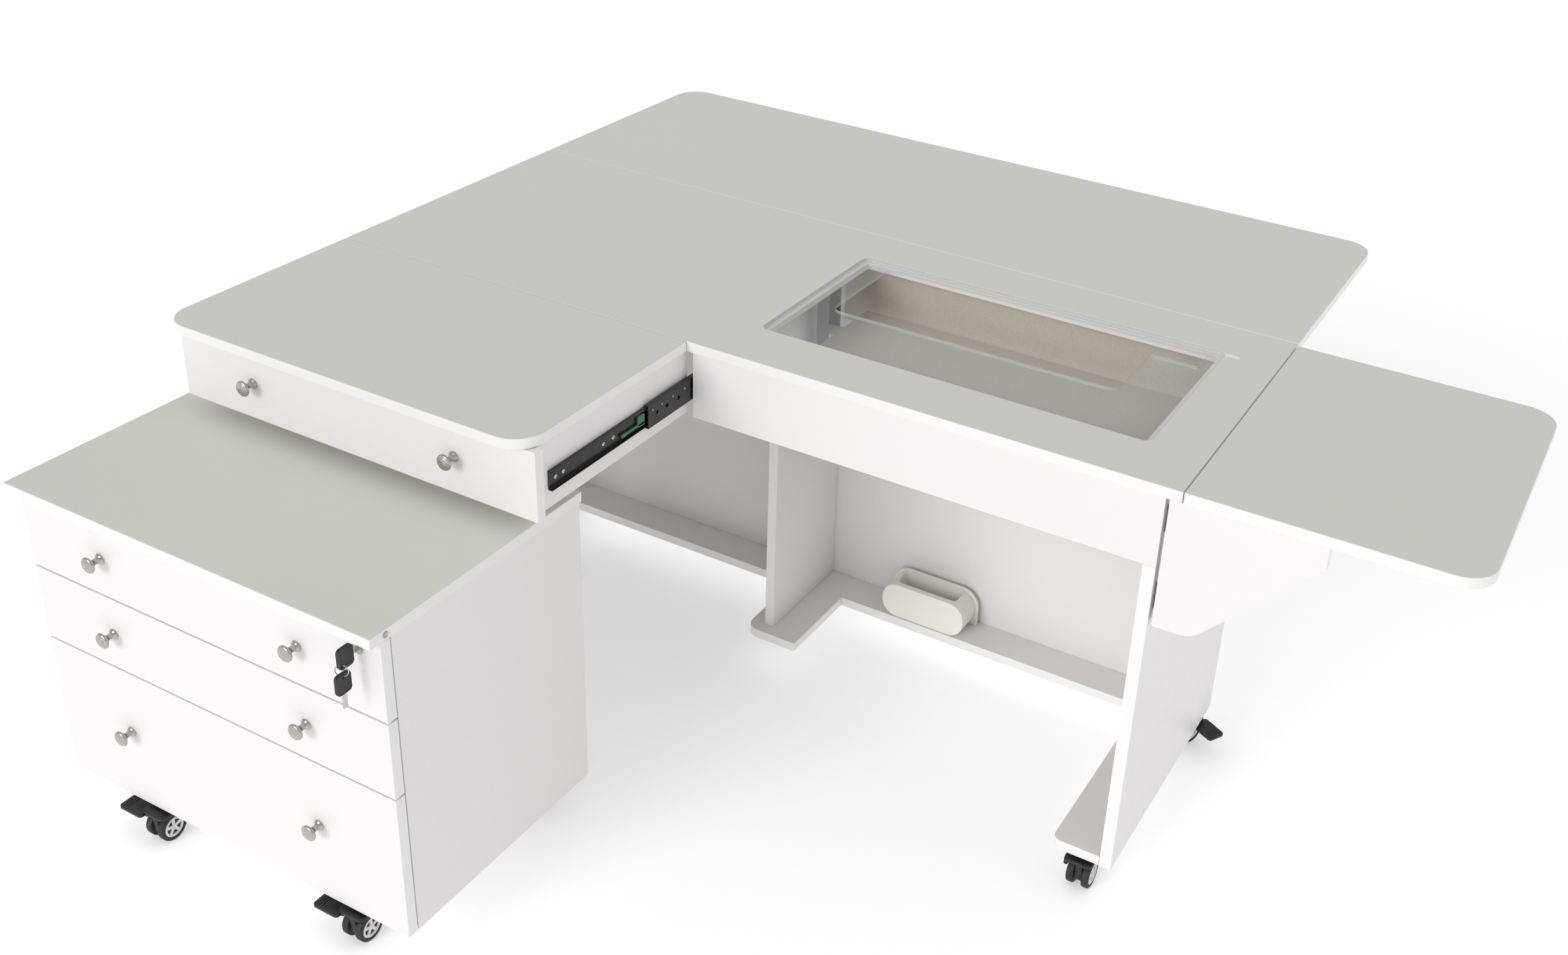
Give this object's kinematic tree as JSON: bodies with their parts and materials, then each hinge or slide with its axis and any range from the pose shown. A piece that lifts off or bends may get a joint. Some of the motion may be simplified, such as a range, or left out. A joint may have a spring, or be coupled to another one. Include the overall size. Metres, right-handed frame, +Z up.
{
  "type": "sewing table",
  "caption": "White sewing table on casters with grey folding leaves, pull-out extension box, machine lift under a clear insert, swing-out support wings and a rolling drawer caddy.",
  "frame": {"origin": "on the floor, under the middle of the whole object's box", "axes": "+X to the right along the apron as the user sits, +Y away from the user to the back of the table, +Z up"},
  "size_m": [1.97, 1.757, 0.762],
  "materials": {
    "grey_laminate": "light warm grey laminate with a fine speckle, satin, on particleboard",
    "white_melamine": "white melamine-faced board, satin, with white edge bands",
    "platform_board": "beige melamine board",
    "cream_plastic": "cream moulded plastic",
    "clear_acrylic": "clear acrylic sheet with polished edges",
    "lift_steel": "grey powder-coated steel",
    "black_slide_steel": "black lacquered steel",
    "latch_plastic": "green moulded plastic",
    "satin_nickel": "satin nickel plate",
    "black_plastic": "black moulded plastic",
    "wheel_rubber": "black treads with light grey hubs"
  },
  "bodies": {
    "cabinet": {"main_top": "grey_laminate", "right_side_panel": "white_melamine", "left_side_panel": "white_melamine", "middle_partition": "white_melamine", "back_panel": "white_melamine", "apron": "white_melamine", "right_foot_plate": "white_melamine", "left_foot_plate": "white_melamine", "middle_foot_plate": "white_melamine", "back_stretcher": "white_melamine", "accessory_pocket": "cream_plastic", "lift_frame": "lift_steel", "slide_right_outer": "black_slide_steel", "slide_left_outer": "black_slide_steel"},
    "front_leaf": {"front_leaf": "grey_laminate"},
    "rear_leaf": {"rear_leaf": "grey_laminate"},
    "right_leaf": {"right_leaf": "grey_laminate"},
    "right_wing": {"right_wing": "white_melamine"},
    "rear_wing_left": {"rear_wing_left": "white_melamine"},
    "rear_wing_right": {"rear_wing_right": "white_melamine"},
    "extension": {"extension_front": "white_melamine", "extension_box": "white_melamine", "extension_knob_left": "satin_nickel", "extension_knob_right": "satin_nickel", "slide_right_inner": "black_slide_steel", "slide_left_inner": "black_slide_steel"},
    "slide_right_middle": {"slide_right_middle": "black_slide_steel"},
    "slide_left_middle": {"slide_left_middle": "black_slide_steel"},
    "slide_latch": {"slide_latch": "latch_plastic"},
    "lift_platform": {"lift_platform": "platform_board"},
    "machine_insert": {"machine_insert": "clear_acrylic"},
    "caddy": {"caddy_top": "grey_laminate", "caddy_carcass": "white_melamine"},
    "drawer_top": {"drawer_top": "white_melamine", "drawer_top_knob_left": "satin_nickel", "drawer_top_knob_right": "satin_nickel"},
    "drawer_middle": {"drawer_middle": "white_melamine", "drawer_middle_knob_left": "satin_nickel", "drawer_middle_knob_right": "satin_nickel"},
    "drawer_bottom": {"drawer_bottom": "white_melamine", "drawer_bottom_knob_left": "satin_nickel", "drawer_bottom_knob_right": "satin_nickel"},
    "drawer_lock": {"drawer_lock": "satin_nickel", "drawer_key": "black_plastic"},
    "cabinet_caster_front_right": {"cabinet_caster_front_right_housing": "black_plastic"},
    "cabinet_caster_front_right_wheels": {"cabinet_caster_front_right_wheels": "wheel_rubber"},
    "cabinet_caster_rear_right": {"cabinet_caster_rear_right_housing": "black_plastic"},
    "cabinet_caster_rear_right_wheels": {"cabinet_caster_rear_right_wheels": "wheel_rubber"},
    "cabinet_caster_front_left": {"cabinet_caster_front_left_housing": "black_plastic"},
    "cabinet_caster_front_left_wheels": {"cabinet_caster_front_left_wheels": "wheel_rubber"},
    "cabinet_caster_rear_left": {"cabinet_caster_rear_left_housing": "black_plastic"},
    "cabinet_caster_rear_left_wheels": {"cabinet_caster_rear_left_wheels": "wheel_rubber"},
    "caddy_caster_front_left": {"caddy_caster_front_left_housing": "black_plastic"},
    "caddy_caster_front_left_wheels": {"caddy_caster_front_left_wheels": "wheel_rubber"},
    "caddy_caster_front_right": {"caddy_caster_front_right_housing": "black_plastic"},
    "caddy_caster_front_right_wheels": {"caddy_caster_front_right_wheels": "wheel_rubber"},
    "caddy_caster_rear_left": {"caddy_caster_rear_left_housing": "black_plastic"},
    "caddy_caster_rear_left_wheels": {"caddy_caster_rear_left_wheels": "wheel_rubber"},
    "caddy_caster_rear_right": {"caddy_caster_rear_right_housing": "black_plastic"},
    "caddy_caster_rear_right_wheels": {"caddy_caster_rear_right_wheels": "wheel_rubber"}
  },
  "joints": [
    {"name": "front_leaf_fold", "type": "hinge", "parent": "cabinet", "child": "front_leaf", "pos_m": [-0.606, -0.17725, 0.7625], "axis": [1, 0, 0], "range_deg": [-180, 0]},
    {"name": "rear_leaf_drop", "type": "hinge", "parent": "cabinet", "child": "rear_leaf", "pos_m": [-0.196, 0.3795, 0.7437], "axis": [1, 0, 0], "range_deg": [-90, 0]},
    {"name": "right_leaf_fold", "type": "hinge", "parent": "cabinet", "child": "right_leaf", "pos_m": [0.572, 0.0975, 0.7625], "axis": [0, 1, 0], "range_deg": [-180, 0]},
    {"name": "right_wing_swing", "type": "hinge", "parent": "cabinet", "child": "right_wing", "pos_m": [0.548, -0.1525, 0.635], "axis": [0, 0, 1], "range_deg": [0, 90]},
    {"name": "rear_wing_left_swing", "type": "hinge", "parent": "cabinet", "child": "rear_wing_left", "pos_m": [-0.581, 0.3095, 0.635], "axis": [0, 0, 1], "range_deg": [0, 90]},
    {"name": "rear_wing_right_swing", "type": "hinge", "parent": "cabinet", "child": "rear_wing_right", "pos_m": [0.189, 0.3095, 0.635], "axis": [0, 0, -1], "range_deg": [0, 90]},
    {"name": "extension_slide", "type": "slide", "parent": "cabinet", "child": "extension", "axis": [0, 1, 0], "range_m": [0, 0.385]},
    {"name": "slide_right_middle_run", "type": "slide", "parent": "cabinet", "child": "slide_right_middle", "axis": [0, 1, 0], "range_m": [0, 0.156]},
    {"name": "slide_left_middle_run", "type": "slide", "parent": "cabinet", "child": "slide_left_middle", "axis": [0, 1, 0], "range_m": [0, 0.156]},
    {"name": "slide_latch_press", "type": "hinge", "parent": "extension", "child": "slide_latch", "pos_m": [-0.2496, -0.3485, 0.677], "axis": [1, 0, 0], "range_deg": [-4, 4], "stiffness_Nm_per_rad": 0.5},
    {"name": "lift_travel", "type": "slide", "parent": "cabinet", "child": "lift_platform", "axis": [0, 0, 1], "range_m": [-0.19, 0]},
    {"name": "insert_lift_out", "type": "slide", "parent": "cabinet", "child": "machine_insert", "axis": [0, 0, 1], "range_m": [0, 0.03]},
    {"name": "caddy_roll", "type": "slide", "parent": "cabinet", "child": "caddy", "axis": [0, 1, 0], "range_m": [-0.3, 0.24]},
    {"name": "drawer_top_slide", "type": "slide", "parent": "caddy", "child": "drawer_top", "axis": [0, -1, 0], "range_m": [0, 0.33]},
    {"name": "drawer_middle_slide", "type": "slide", "parent": "caddy", "child": "drawer_middle", "axis": [0, -1, 0], "range_m": [0, 0.33]},
    {"name": "drawer_bottom_slide", "type": "slide", "parent": "caddy", "child": "drawer_bottom", "axis": [0, -1, 0], "range_m": [0, 0.33]},
    {"name": "lock_turn", "type": "hinge", "parent": "drawer_top", "child": "drawer_lock", "pos_m": [-0.317, -0.8445, 0.56], "axis": [0, 1, 0], "range_deg": [0, 90]},
    {"name": "cabinet_caster_front_right_swivel", "type": "hinge", "parent": "cabinet", "child": "cabinet_caster_front_right", "pos_m": [0.497, -0.1405, 0.057], "axis": [0, 0, 1], "continuous": true},
    {"name": "cabinet_caster_front_right_wheels_roll", "type": "hinge", "parent": "cabinet_caster_front_right", "child": "cabinet_caster_front_right_wheels", "pos_m": [0.497, -0.1565, 0.024], "axis": [-1, 0, 0], "continuous": true},
    {"name": "cabinet_caster_rear_right_swivel", "type": "hinge", "parent": "cabinet", "child": "cabinet_caster_rear_right", "pos_m": [0.507, 0.2615, 0.057], "axis": [0, 0, 1], "continuous": true},
    {"name": "cabinet_caster_rear_right_wheels_roll", "type": "hinge", "parent": "cabinet_caster_rear_right", "child": "cabinet_caster_rear_right_wheels", "pos_m": [0.51481, 0.27546, 0.024], "axis": [0.8727, -0.4882, 0], "continuous": true},
    {"name": "cabinet_caster_front_left_swivel", "type": "hinge", "parent": "cabinet", "child": "cabinet_caster_front_left", "pos_m": [-0.905, -0.1265, 0.057], "axis": [0, 0, 1], "continuous": true},
    {"name": "cabinet_caster_front_left_wheels_roll", "type": "hinge", "parent": "cabinet_caster_front_left", "child": "cabinet_caster_front_left_wheels", "pos_m": [-0.905, -0.1425, 0.024], "axis": [-1, 0, 0], "continuous": true},
    {"name": "cabinet_caster_rear_left_swivel", "type": "hinge", "parent": "cabinet", "child": "cabinet_caster_rear_left", "pos_m": [-0.905, 0.2535, 0.057], "axis": [0, 0, 1], "continuous": true},
    {"name": "cabinet_caster_rear_left_wheels_roll", "type": "hinge", "parent": "cabinet_caster_rear_left", "child": "cabinet_caster_rear_left_wheels", "pos_m": [-0.905, 0.2695, 0.024], "axis": [1, 0, 0], "continuous": true},
    {"name": "caddy_caster_front_left_swivel", "type": "hinge", "parent": "caddy", "child": "caddy_caster_front_left", "pos_m": [-0.792, -0.8185, 0.057], "axis": [0, 0, 1], "continuous": true},
    {"name": "caddy_caster_front_left_wheels_roll", "type": "hinge", "parent": "caddy_caster_front_left", "child": "caddy_caster_front_left_wheels", "pos_m": [-0.792, -0.8345, 0.024], "axis": [-1, 0, 0], "continuous": true},
    {"name": "caddy_caster_front_right_swivel", "type": "hinge", "parent": "caddy", "child": "caddy_caster_front_right", "pos_m": [-0.382, -0.8135, 0.057], "axis": [0, 0, 1], "continuous": true},
    {"name": "caddy_caster_front_right_wheels_roll", "type": "hinge", "parent": "caddy_caster_front_right", "child": "caddy_caster_front_right_wheels", "pos_m": [-0.382, -0.8295, 0.024], "axis": [-1, 0, 0], "continuous": true},
    {"name": "caddy_caster_rear_left_swivel", "type": "hinge", "parent": "caddy", "child": "caddy_caster_rear_left", "pos_m": [-0.801, -0.4965, 0.057], "axis": [0, 0, 1], "continuous": true},
    {"name": "caddy_caster_rear_left_wheels_roll", "type": "hinge", "parent": "caddy_caster_rear_left", "child": "caddy_caster_rear_left_wheels", "pos_m": [-0.801, -0.4805, 0.024], "axis": [1, 0, 0], "continuous": true},
    {"name": "caddy_caster_rear_right_swivel", "type": "hinge", "parent": "caddy", "child": "caddy_caster_rear_right", "pos_m": [-0.382, -0.4965, 0.057], "axis": [0, 0, 1], "continuous": true},
    {"name": "caddy_caster_rear_right_wheels_roll", "type": "hinge", "parent": "caddy_caster_rear_right", "child": "caddy_caster_rear_right_wheels", "pos_m": [-0.382, -0.4805, 0.024], "axis": [1, 0, 0], "continuous": true}
  ],
  "couplings": [
    {"joint": "slide_right_middle_run", "follows": "extension_slide", "ratio": 0.4},
    {"joint": "slide_left_middle_run", "follows": "extension_slide", "ratio": 0.4}
  ]
}
